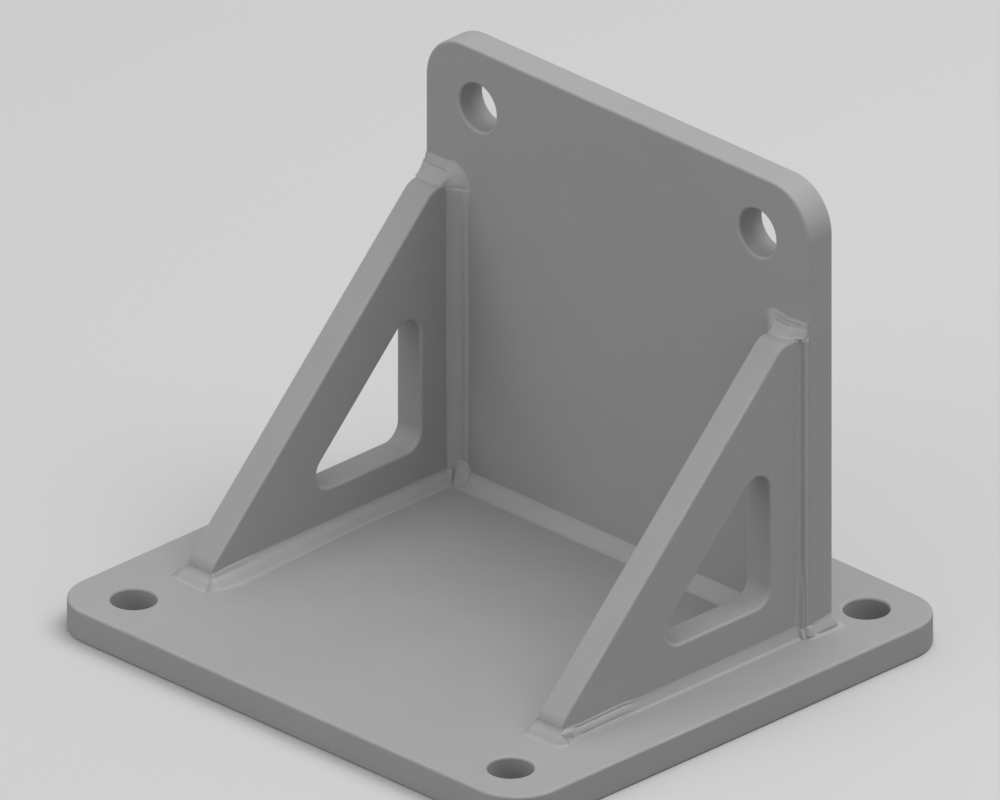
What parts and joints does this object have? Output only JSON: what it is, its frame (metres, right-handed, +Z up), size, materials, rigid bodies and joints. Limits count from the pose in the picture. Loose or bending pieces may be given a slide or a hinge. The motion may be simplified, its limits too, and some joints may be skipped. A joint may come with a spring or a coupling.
{
  "type": "welded angle bracket",
  "caption": "Welded steel angle bracket: a base plate with bolt holes, an upright plate, and triangular gussets with windows that brace it from the front.",
  "frame": {"origin": "centre of the base plate's underside", "axes": "+X along the width, +Y from the open front to the upright's back, +Z up from the base plate"},
  "size_m": [0.155, 0.144, 0.122],
  "materials": {
    "plate": "matte grey paint on flat steel plate",
    "weld": "the same matte grey paint over fillet weld beads"
  },
  "bodies": {
    "root": {"base_plate": "plate", "upright_plate": "plate", "gusset_left": "plate", "gusset_right": "plate", "weld_upright_front": "weld", "weld_upright_back": "weld", "weld_upright_end_left": "weld", "weld_upright_end_right": "weld", "weld_left_base_inner": "weld", "weld_left_base_outer": "weld", "weld_left_toe": "weld", "weld_left_upright_inner": "weld", "weld_left_upright_outer": "weld", "weld_left_top": "weld", "weld_left_corner": "weld", "weld_right_base_inner": "weld", "weld_right_base_outer": "weld", "weld_right_toe": "weld", "weld_right_upright_inner": "weld", "weld_right_upright_outer": "weld", "weld_right_top": "weld", "weld_right_corner": "weld"}
  },
  "joints": []
}
